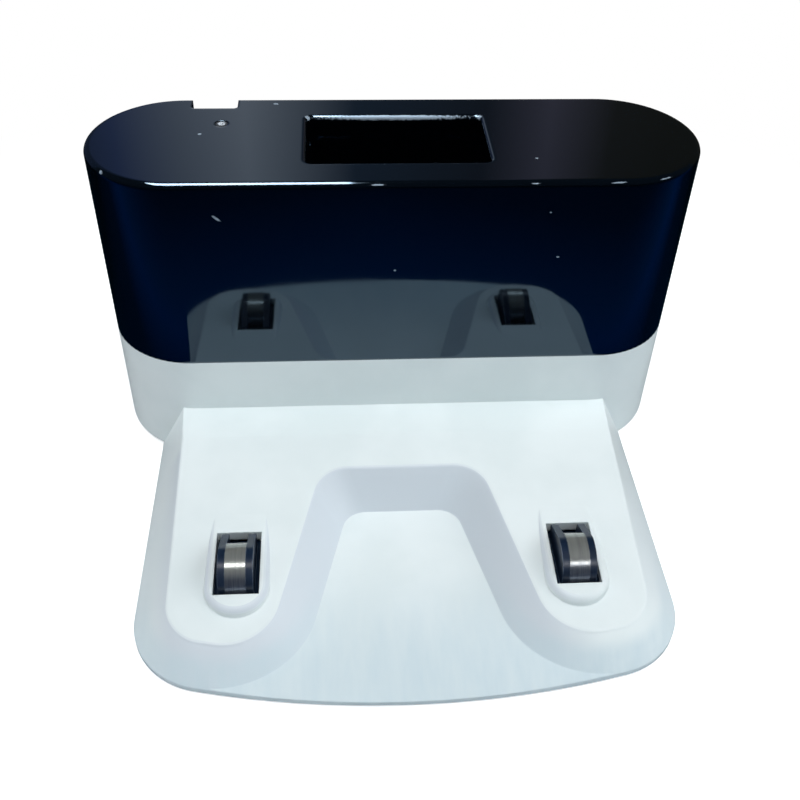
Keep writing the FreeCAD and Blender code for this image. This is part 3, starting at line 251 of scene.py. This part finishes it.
def plated_nickel():
    """Nickel-plated steel strip, brushed along its length and streaked by sliding contacts, with a
    painted reflection: paler on its crown and dark blue-grey towards its foot, where it is hardly
    metallic."""
    material, tree, place = new_material("nickel-plated steel, brushed and worn")
    # Brush lines are nearer 0.05 mm; they are drawn at 0.3 mm so that they show
    lengthwise = add(tree, MAPPING, {"Vector": place, "Scale": (1, 1 / 40, 1 / 40)})
    brushed = add(tree, NOISE, {"Vector": lengthwise, "Scale": 1 / 0.3, "Detail": 4})
    sliding = add(tree, MAPPING, {"Vector": place, "Scale": (1, 1 / 14, 1 / 14)})
    slid = add(tree, NOISE, {"Vector": sliding, "Scale": 1 / 0.9, "Detail": 3})
    streaks = add(tree, RANGE, {0: slid, 1: 0.35, 2: 0.7}, **SMOOTH)
    worn = add(tree, MIX, {0: streaks, 6: "#A0A39E", 7: "#929492"}, **COLOURS)
    # Painted reflection: dark blue-grey towards the foot, paler at the crown
    height = add(tree, AXES, {0: place}).outputs["Z"]
    painted_dark_foot = add(tree, RANGE, {0: height, 1: 17.2, 2: 14.6}, **SMOOTH)
    foot_to_crown = add(tree, MIX, {0: painted_dark_foot, 6: worn, 7: "#555C6A"}, **COLOURS)
    bright = add(tree, RANGE, {0: brushed, 1: 0.3, 2: 0.8, 3: 0.0, 4: 0.14}, **SMOOTH)
    colour = add(tree, MIX, {0: bright, 6: foot_to_crown, 7: "#CCCBC6"}, **COLOURS)
    bump = add(tree, BUMP, {"Height": brushed, "Strength": 0.05, "Distance": 0.01 * MM})
    sheen = add(tree, RANGE, {0: streaks, 3: 0.2, 4: 0.26}, **SMOOTH)
    shader = add(tree, PRINCIPLED, {
        "Base Color": colour, "Metallic": 0.6, "Roughness": sheen, "Normal": bump})
    return finish_material(material, tree, shader)


def bare_metal(name, light, dark, roughness, streak, stretch):
    """A bare metal with fine tool or drawing marks: bright, with darker streaks between them."""
    material, tree, place = new_material(name)
    along = add(tree, MAPPING, {"Vector": place, "Scale": [1 / length for length in stretch]})
    lines = add(tree, NOISE, {"Vector": along, "Scale": 1 / streak, "Detail": 3})
    between = add(tree, RANGE, {0: lines, 1: 0.3, 2: 0.7}, **SMOOTH)
    colour = add(tree, MIX, {0: between, 6: light, 7: dark}, **COLOURS)
    bump = add(tree, BUMP, {"Height": lines, "Strength": 0.2, "Distance": 0.01 * MM})
    sheen = add(tree, RANGE, {
        0: lines, 1: 0.3, 2: 0.7, 3: roughness - 0.05, 4: roughness + 0.08}, **SMOOTH)
    shader = add(tree, PRINCIPLED, {
        "Base Color": colour, "Metallic": 1.0, "Roughness": sheen, "Normal": bump})
    return finish_material(material, tree, shader)


def moulded_plastic(name, light, dark, roughness, ior, grain_size):
    """A plain moulded plastic or rubber: nearly even colour with the tool's grain in its sheen."""
    material, tree, place = new_material(name)
    melt = add(tree, NOISE, {"Vector": place, "Scale": 1 / 4, "Detail": 3})
    flow = add(tree, RANGE, {0: melt, 1: 0.35, 2: 0.65}, **SMOOTH)
    colour = add(tree, MIX, {0: flow, 6: light, 7: dark}, **COLOURS)
    grain = add(tree, NOISE, {"Vector": place, "Scale": 1 / grain_size, "Detail": 2})
    bump = add(tree, BUMP, {"Height": grain, "Strength": 0.2, "Distance": 0.03 * MM})
    sheen = add(tree, RANGE, {
        0: grain, 1: 0.3, 2: 0.7, 3: roughness - 0.06, 4: roughness + 0.06}, **SMOOTH)
    shader = add(tree, PRINCIPLED, {
        "Base Color": colour, "Roughness": sheen, "IOR": ior, "Normal": bump})
    return finish_material(material, tree, shader)


def solder_mask():
    """Glass-fibre board under green solder mask: a faint weave, with paler copper runs."""
    material, tree, place = new_material("glass-fibre board, green solder mask")
    weave = add(tree, "ShaderNodeTexWave", {
        "Vector": place, "Scale": 1 / 3, "Distortion": 0.4}, wave_type="BANDS", bands_direction="X")
    runs = add(tree, "ShaderNodeTexBrick", {"Vector": place, "Scale": 1 / 6, "Mortar Size": 0.06})
    copper = runs.outputs["Fac"]
    board = add(tree, MIX, {0: copper, 6: "#14502C", 7: "#2C7A48"}, **COLOURS)
    faint = add(tree, MATH, {0: weave.outputs["Fac"], 1: 0.2}, **TIMES)
    colour = add(tree, MIX, {0: faint, 6: board, 7: "#0D3A1F"}, **COLOURS)
    bump = add(tree, BUMP, {"Height": copper, "Strength": 0.3, "Distance": 0.04 * MM})
    shader = add(tree, PRINCIPLED, {
        "Base Color": colour, "Roughness": 0.32, "IOR": 1.5, "Normal": bump})
    return finish_material(material, tree, shader)


def cast_resin(name, light, dark, clearness):
    """Cast epoxy: smooth and a little clear, with slow clouds of tint."""
    material, tree, place = new_material(name)
    cloud = add(tree, NOISE, {"Vector": place, "Scale": 1 / 2, "Detail": 3})
    colour = add(tree, MIX, {0: cloud, 6: light, 7: dark}, **COLOURS)
    ripple = add(tree, NOISE, {"Vector": place, "Scale": 1 / 0.6, "Detail": 3})
    sheen = add(tree, RANGE, {0: ripple, 1: 0.3, 2: 0.7, 3: 0.06, 4: 0.12}, **SMOOTH)
    shader = add(tree, PRINCIPLED, {
        "Base Color": colour, "Roughness": sheen, "IOR": 1.55, "Transmission Weight": clearness})
    return finish_material(material, tree, shader)


def light_window():
    """Clear polycarbonate window with a painted glint: a pale disc at its middle, broken in
    patches, and dark at its wall.
    """
    material, tree, place = new_material("clear polycarbonate, polished")
    low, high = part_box("status_light_pipe")
    middle = (low + high) / (2 * MM)
    off = add(tree, VECTOR, {0: place, 1: (middle.x, middle.y, 0)}, operation="SUBTRACT")
    level = add(tree, VECTOR, {0: off, 1: (1, 1, 0)}, **TIMES)
    away = add(tree, VECTOR, {0: level}, **LENGTH)
    # Painted glint: pale in a disc round the middle, broken by noise
    glint_disc = add(tree, RANGE, {0: away, 1: 1.15, 2: 0.75}, **SMOOTH)
    facets = add(tree, NOISE, {"Vector": place, "Scale": 1 / 0.4, "Detail": 3})
    broken = add(tree, RANGE, {0: facets, 1: 0.38, 2: 0.56, 3: 0.12, 4: 1.0}, **SMOOTH)
    pale = add(tree, MATH, {0: glint_disc, 1: broken}, **TIMES)
    colour = add(tree, MIX, {0: pale, 6: "#04070B", 7: "#D5DEE6"}, **COLOURS)
    shader = add(tree, PRINCIPLED, {"Base Color": colour, "Roughness": 0.12, "IOR": 1.58})
    return finish_material(material, tree, shader)


EVEN = (1, 1, 1)
ROUND_THE_PIN = (4, 0.5, 4)
finishes = {
    "white_abs": moulded_white_abs(),
    "black_gloss_cover": lacquered_black_abs(),
    "black_acetal": moulded_black_acetal(),
    "nickel_strip": plated_nickel(),
    "spring_steel": bare_metal("spring steel, drawn", "#A4A6AA", "#74767A", 0.3, 0.2, EVEN),
    "lead_insulation": moulded_plastic("PVC, extruded", "#8E2424", "#7A1C1C", 0.45, 1.53, 0.8),
    "circuit_board": solder_mask(),
    "emitter_resin": cast_resin("epoxy, smoked", "#26304C", "#141A2C", 0.3),
    "lamp_resin": cast_resin("epoxy, milky", "#E6E4D6", "#D2D0C0", 0.0),
    "clear_light_pipe": light_window(),
    "jack_plastic": moulded_plastic("nylon, moulded", "#17181A", "#0E0F11", 0.42, 1.53, 0.3),
    "brass_pin": bare_metal("brass, turned", "#CFA85A", "#A8843E", 0.24, 0.15, ROUND_THE_PIN),
    "zinc_screw": bare_metal("zinc-plated steel", "#B4B8BC", "#8C9094", 0.3, 0.6, EVEN),
    "foot_rubber": moulded_plastic("rubber, moulded", "#232426", "#191A1C", 0.72, 1.52, 0.35),
}
for subpart in frame["record"]["subparts"]:
    mesh = nodes[subpart["node"]].data
    mesh.materials.clear()
    mesh.materials.append(finishes[subpart["material_slot"]])


# Screws and feet


def ring(bm, radii, height):
    """Points round Z, one for each radius, in millimetres; a single point where all are 0."""
    if not any(radii):
        return [bm.verts.new((0, 0, height * MM))] * len(radii)
    points = []
    for step, radius in enumerate(radii):
        angle = 2 * math.pi * step / len(radii)
        points.append(bm.verts.new((
            radius * MM * math.cos(angle), radius * MM * math.sin(angle), height * MM)))
    return points


def skin(bm, rings):
    """Faces between each ring and the next."""
    for below, above in zip(rings, rings[1:]):
        for step in range(len(below)):
            after = (step + 1) % len(below)
            corners = [below[step], below[after], above[after], above[step]]
            bm.faces.new(list(dict.fromkeys(corners)))


def turned(bm, outline, segments):
    """Spins an outline of (radius, height) about Z."""
    rings = [ring(bm, [radius] * segments, height) for radius, height in outline]
    skin(bm, rings)
    return rings


def shape_mesh(bm, name):
    bmesh.ops.recalc_face_normals(bm, faces=bm.faces)
    shape = bpy.data.meshes.new(name)
    bm.to_mesh(shape)
    bm.free()
    return shape


# Screw, standing on its head, in millimetres
HEAD_OUTLINE = ((2.45, 0.0), (2.66, 0.06), (2.8, 0.26), (2.8, 1.0), (1.2, 1.0))
CROSS_REACH, CROSS_HALF_WIDTH, CROSS_DEPTH, CROSS_TAPER = 1.45, 0.34, 0.62, 0.72
THREAD_CREST, THREAD_ROOT, THREAD_PITCH = 1.48, 1.12, 1.0
THREAD_START, THREAD_END, THREAD_TIP = 1.0, 8.3, 9.0
THREAD_ROWS, SCREW_SEGMENTS = 60, 32


def screw_shape():
    """Cross-recessed screw: rounded rim, cross in the underside, rolled thread."""
    bm = bmesh.new()
    head = turned(bm, HEAD_OUTLINE, SCREW_SEGMENTS)

    # Cross recess in the underside, narrowing upwards
    far, near = CROSS_REACH, CROSS_HALF_WIDTH
    quarter = [Vector((far, near)), Vector((near, near)), Vector((near, far))]
    outline = []
    for turn in range(4):
        outline += [Matrix.Rotation(turn * math.pi / 2, 2) @ corner for corner in quarter]
    mouth = [bm.verts.new((x * MM, y * MM, 0)) for x, y in outline]
    inner = CROSS_TAPER * MM
    floor = [bm.verts.new((x * inner, y * inner, CROSS_DEPTH * MM)) for x, y in outline]
    edges = []
    for loop in (head[0], mouth):
        for start, end in zip(loop, loop[1:] + loop[:1]):
            edges.append(bm.edges.get((start, end)) or bm.edges.new((start, end)))
    skin(bm, [mouth, floor])
    bm.faces.new(floor)
    bmesh.ops.triangle_fill(bm, edges=edges, use_beauty=True)

    # Rolled thread, its crest at the shank's radius, running in and out over one pitch
    rings = [head[-1]]
    for row in range(1, THREAD_ROWS + 1):
        height = THREAD_START + (THREAD_END - THREAD_START) * row / THREAD_ROWS
        running = min(1.0, (height - THREAD_START) / THREAD_PITCH)
        running *= min(1.0, (THREAD_END - height) / THREAD_PITCH)
        radii = []
        for step in range(SCREW_SEGMENTS):
            phase = (height / THREAD_PITCH - step / SCREW_SEGMENTS) % 1.0
            rise = max(0.0, 1 - abs(phase - 0.5) * 3.2) * running
            radii.append(THREAD_ROOT + (THREAD_CREST - THREAD_ROOT) * rise)
        rings.append(ring(bm, radii, height))
    rings.append(ring(bm, [0] * SCREW_SEGMENTS, THREAD_TIP))
    skin(bm, rings)
    return shape_mesh(bm, "screw_shape")


# Foot, from its dimple outwards: two grip grooves, rounded rim and flat top, in millimetres
FOOT_OUTLINE = (
    (0, 0.32), (0.9, 0.28), (1.35, 0.1), (1.55, 0.0),
    (2.2, 0.0), (2.32, 0.06), (2.42, 0.26), (2.62, 0.26), (2.72, 0.06), (2.84, 0.0),
    (3.5, 0.0), (3.62, 0.06), (3.72, 0.26), (3.92, 0.26), (4.02, 0.06), (4.14, 0.0),
    (4.55, 0.0), (4.78, 0.09), (4.9, 0.32), (4.9, 1.6), (0, 1.6))
FOOT_SEGMENTS = 48


def foot_shape():
    bm = bmesh.new()
    turned(bm, FOOT_OUTLINE, FOOT_SEGMENTS)
    return shape_mesh(bm, "foot_shape")


def repeated_piece_tree():
    """Stands a pattern on every point of the input, each turned by its own share of Turn."""
    tree = bpy.data.node_groups.new("repeated_piece", "GeometryNodeTree")
    for name, in_out, kind in (
            ("Places", "INPUT", "Geometry"), ("Pattern", "INPUT", "Object"),
            ("Turn", "INPUT", "Float"), ("Finish", "INPUT", "Material"),
            ("Pieces", "OUTPUT", "Geometry")):
        tree.interface.new_socket(name, in_out=in_out, socket_type="NodeSocket" + kind)
    given = add(tree, "NodeGroupInput").outputs
    pattern = add(tree, "GeometryNodeObjectInfo", {"Object": given["Pattern"]})
    share = add(tree, "FunctionNodeRandomValue", {
        2: 0.0, 3: given["Turn"], "Seed": 7}, data_type="FLOAT")
    turn = add(tree, "ShaderNodeCombineXYZ", {"Z": share.outputs[1]})
    stood = add(tree, "GeometryNodeInstanceOnPoints", {
        "Points": given["Places"], "Instance": pattern.outputs["Geometry"], "Rotation": turn})
    solid = add(tree, "GeometryNodeRealizeInstances", {"Geometry": stood})
    coloured = add(tree, "GeometryNodeSetMaterial", {
        "Geometry": solid, "Material": given["Finish"]})
    add(tree, "NodeGroupOutput", {"Pieces": coloured})
    return tree


def repeat_over_nodes(name, shape, turn, slot, replaced):
    """One piece with the shape stood under each replaced node, at the middle of its base."""
    collection = bpy.context.scene.collection
    pattern = bpy.data.objects.new(name + "_pattern", shape)
    collection.objects.link(pattern)
    places = []
    for node in replaced:
        low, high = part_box(node)
        places.append(((low.x + high.x) / 2, (low.y + high.y) / 2, low.z))
    points = bpy.data.meshes.new(name + "_places")
    points.from_pydata(places, [], [])
    carrier = bpy.data.objects.new(name + "_carrier", points)
    collection.objects.link(carrier)
    modifier = carrier.modifiers.new("repeat", "NODES")
    modifier.node_group = repeat_tree
    given = {socket.name: socket.identifier for socket in repeat_tree.interface.items_tree}
    modifier[given["Pattern"]] = pattern
    modifier[given["Turn"]] = turn
    modifier[given["Finish"]] = finishes[slot]
    graph = bpy.context.evaluated_depsgraph_get()
    mesh = bpy.data.meshes.new_from_object(carrier.evaluated_get(graph))
    carrier.modifiers.remove(modifier)
    bpy.data.objects.remove(carrier)
    bpy.data.objects.remove(pattern)
    mesh.shade_smooth()
    mesh.set_sharp_from_angle(angle=math.radians(35))
    piece = bpy.data.objects.new(name, mesh)
    collection.objects.link(piece)
    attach(piece, "dock")
    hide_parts(*replaced)


CORNERS = ("front_left", "front_right", "rear_left", "rear_right")
screw_nodes = ["screw_" + corner for corner in CORNERS]
foot_nodes = ["foot_" + corner for corner in CORNERS]
repeat_tree = repeated_piece_tree()
repeat_over_nodes("plate_screws", screw_shape(), math.pi / 2, "zinc_screw", screw_nodes)
repeat_over_nodes("rubber_feet", foot_shape(), 0.0, "foot_rubber", foot_nodes)


# Each spring gets a mesh of its own

for side in ("left", "right"):
    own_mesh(nodes["contact_spring_" + side])


# Camera at the photograph's place

CAMERA_PLACE = Vector((-15.6, -187.0, 201.1)) * MM
CAMERA_YAW = math.radians(-4.64)
CAMERA_PITCH = math.radians(41.38)
CAMERA_ROLL = math.radians(1.82)
camera = bpy.data.cameras.new("camera")
camera.sensor_width = 36.0
camera.lens = 45.52
camera_object = bpy.data.objects.new("camera", camera)
camera_object.matrix_world = (
    Matrix.Translation(CAMERA_PLACE) @ Matrix.Rotation(CAMERA_YAW, 4, "Z")
    @ Matrix.Rotation(math.pi / 2 - CAMERA_PITCH, 4, "X") @ Matrix.Rotation(CAMERA_ROLL, 4, "Z"))
bpy.context.scene.collection.objects.link(camera_object)
bpy.context.scene.camera = camera_object


# Light


def softbox(name, place, target, width, depth, watts, hex_colour):
    lamp = bpy.data.lights.new(name, "AREA")
    lamp.shape = "RECTANGLE"
    lamp.size = width
    lamp.size_y = depth
    lamp.energy = watts
    lamp.color = linear(hex_colour)[:3]
    lamp_object = bpy.data.objects.new(name, lamp)
    aim = (Vector(target) - Vector(place)).to_track_quat("-Z", "Y").to_matrix().to_4x4()
    lamp_object.matrix_world = Matrix.Translation(Vector(place)) @ aim
    lamp_object.visible_glossy = False
    bpy.context.scene.collection.objects.link(lamp_object)
    return lamp_object


def glint(name, place, target, width, depth, watts, receivers):
    """A small lamp that only the gloss of the named nodes shows."""
    lamp_object = softbox(name, place, target, width, depth, watts, "#FFFFFF")
    lamp_object.visible_diffuse = False
    lamp_object.visible_glossy = True
    lit = bpy.data.collections.new(name + "_receivers")
    for node in receivers:
        lit.objects.link(nodes[node])
    lamp_object.light_linking.receiver_collection = lit


# Places and sizes in metres, then watts
DOCK_MIDDLE = (0.0, -0.01, 0.02)
for name, place, width, depth, watts, hex_colour in (
        ("overhead_softbox", (-0.024, -0.12, 0.52), 0.30, 0.25, 1.63, "#FBFAFA"),
        ("right_softbox", (0.47, -0.05, 0.37), 0.50, 0.35, 1.69, "#FDFCFC"),
        ("left_softbox", (-0.22, -0.02, 0.30), 0.30, 0.25, 0.30, "#F4FAFF"),
        ("front_softbox", (0.38, -0.40, 0.42), 0.30, 0.25, 0.36, "#B0E4FF"),
        ("low_strip", (-0.50, -0.05, 0.03), 0.30, 0.05, 0.38, "#FCFCFF"),
        ("low_front_strip", (0.22, -0.55, 0.05), 0.40, 0.06, 0.07, "#FFFFFF")):
    softbox(name, place, DOCK_MIDDLE, width, depth, watts, hex_colour)

TOWER = ["tower_cover"]
CONTACTS = [
    "contact_strip_left", "contact_strip_right", "contact_holder_left", "contact_holder_right"]
LEFT_CONTACT, RIGHT_CONTACT = (-0.04, -0.03, 0.02), (0.04, -0.03, 0.02)
glint("tower_edge_glint", (-0.112, 0.0, 0.52), (-0.112, 0.0, 0.0), 0.215, 0.28, 4.0, TOWER)
glint("left_contact_glint", (-0.094, -0.15, 0.52), LEFT_CONTACT, 0.17, 0.11, 0.50, CONTACTS)
glint("right_contact_glint", (0.178, -0.49, 0.38), RIGHT_CONTACT, 0.24, 0.13, 0.78, CONTACTS)


def seen_as_background(tree):
    """1 for rays that show the background: camera rays, and rays by way of gloss or glass."""
    ray = add(tree, "ShaderNodeLightPath").outputs
    direct = add(tree, MATH, {0: ray["Is Camera Ray"], 1: ray["Is Transmission Ray"]}, **HIGHER)
    return add(tree, MATH, {0: direct, 1: ray["Is Glossy Ray"]}, **HIGHER)


def room():
    """White background, and a little cool fill for everything else."""
    world = bpy.data.worlds.new("room")
    world.use_nodes = True
    tree = world.node_tree
    tree.nodes.clear()
    fill = add(tree, "ShaderNodeBackground", {"Color": "#DCE8F4", "Strength": 0.02})
    white = add(tree, "ShaderNodeBackground", {"Color": "#FFFFFF", "Strength": 1.0})
    shown = add(tree, MIX_SHADER, {0: seen_as_background(tree), 1: fill, 2: white})
    add(tree, "ShaderNodeOutputWorld", {"Surface": shown})
    bpy.context.scene.world = world


room()


# Stage: a pale floor, and inside the white room dim cloths that only gloss sees, because the
# tower is nearly a mirror and would turn white in the white room


def pale_floor():
    """White floor that keeps the dock's soft shadow."""
    material, tree, place = new_material("pale floor")
    matt = add(tree, "ShaderNodeBsdfDiffuse", {"Color": "#E8ECEE"})
    glow = add(tree, EMISSION, {"Color": "#FFFFFF", "Strength": 0.7})
    near = add(tree, "ShaderNodeAddShader", {0: matt, 1: glow})
    white = add(tree, EMISSION, {"Color": "#FFFFFF", "Strength": 1.0})
    away = add(tree, VECTOR, {0: place}, **LENGTH)
    far = add(tree, RANGE, {0: away, 1: 150, 2: 260}, **SMOOTH)
    background = add(tree, MIX_SHADER, {0: far, 1: near, 2: white})
    shown = add(tree, MIX_SHADER, {0: seen_as_background(tree), 1: matt, 2: background})
    return finish_material(material, tree, shown)


def toned_cloth(material, tree, value, tones):
    """Finishes a cloth whose colour follows a table of value and hex colour, even between them."""
    first, last = min(tones), max(tones)
    share = add(tree, RANGE, {0: value, 1: first, 2: last})
    ramp = add(tree, "ShaderNodeValToRGB", {"Fac": share})
    stops = ramp.color_ramp.elements
    while len(stops) < len(tones):
        stops.new(0.5)
    for stop, (at, tone) in zip(stops, sorted(tones.items())):
        stop.position = (at - first) / (last - first)
        stop.color = linear(tone)
    return finish_material(material, tree, add(tree, EMISSION, {"Color": ramp, "Strength": 1.0}))


def floor_cloth():
    """Dark navy cloth on the floor, palest close to the dock's front, by millimetres ahead."""
    material, tree, place = new_material("navy floor cloth")
    axes = add(tree, AXES, {0: place}).outputs
    beside = add(tree, MATH, {0: axes["X"]}, operation="ABSOLUTE")
    forward = add(tree, MATH, {0: axes["Y"], 1: -1.0}, **TIMES)
    ahead = add(tree, MATH, {0: beside, 1: 0.25, 2: forward}, operation="MULTIPLY_ADD")
    slanted = add(tree, MATH, {0: axes["X"], 1: 0.06, 2: ahead}, operation="MULTIPLY_ADD")
    return toned_cloth(material, tree, slanted, {
        -60: "#000A14", 10: "#001A36", 50: "#003672", 70: "#003466", 130: "#001C3A",
        240: "#000A14"})


def back_cloth():
    """Grey cloth behind the dock, pale where window light falls, by millimetres across."""
    material, tree, place = new_material("grey back cloth")
    across = add(tree, AXES, {0: place}).outputs["X"]
    return toned_cloth(material, tree, across, {
        -245: "#3A465C", -198: "#53628A", -143: "#949CAB", -88: "#BAC0CA", 3: "#3F4E5F",
        113: "#343A44", 168: "#6A6674", 223: "#3A3A37", 272: "#34342E"})


def side_cloth():
    """Dark cloth overhead and on three sides, a little uneven."""
    material, tree, place = new_material("dark cloth")
    folds = add(tree, NOISE, {"Vector": place, "Scale": 1 / 300, "Detail": 3})
    colour = add(tree, MIX, {0: folds, 6: "#1E262E", 7: "#323C46"}, **COLOURS)
    return finish_material(material, tree, add(tree, EMISSION, {"Color": colour, "Strength": 1.0}))


def stage_sheet(name, corners, faces, material):
    sheet_mesh = bpy.data.meshes.new(name)
    sheet_mesh.from_pydata(corners, [], faces)
    sheet_mesh.materials.append(material)
    sheet_object = bpy.data.objects.new(name, sheet_mesh)
    bpy.context.scene.collection.objects.link(sheet_object)
    return sheet_object


ONE_FACE = [(0, 1, 2, 3)]
CEILING_AND_SIDES = [(4, 5, 6, 7), (0, 1, 5, 4), (1, 2, 6, 5), (3, 0, 4, 7)]
stage_sheet("floor", [(-3, -3, 0), (3, -3, 0), (3, 3, 0), (-3, 3, 0)], ONE_FACE, pale_floor())
left, right, front, back, low, top = -1.5, 1.5, -1.5, 0.6, 0.0002, 0.7
ground = [(left, front, low), (right, front, low), (right, back, low), (left, back, low)]
ceiling = [(x, y, top) for x, y, z in ground]
for cloth in (
        stage_sheet("floor_cloth", ground, ONE_FACE, floor_cloth()),
        stage_sheet("back_cloth", ground[2:] + ceiling[:1:-1], ONE_FACE, back_cloth()),
        stage_sheet("side_cloths", ground + ceiling, CEILING_AND_SIDES, side_cloth())):
    cloth.visible_camera = False
    cloth.visible_diffuse = False
    cloth.visible_transmission = False
    cloth.visible_shadow = False

bpy.context.scene.view_settings.view_transform = "Standard"
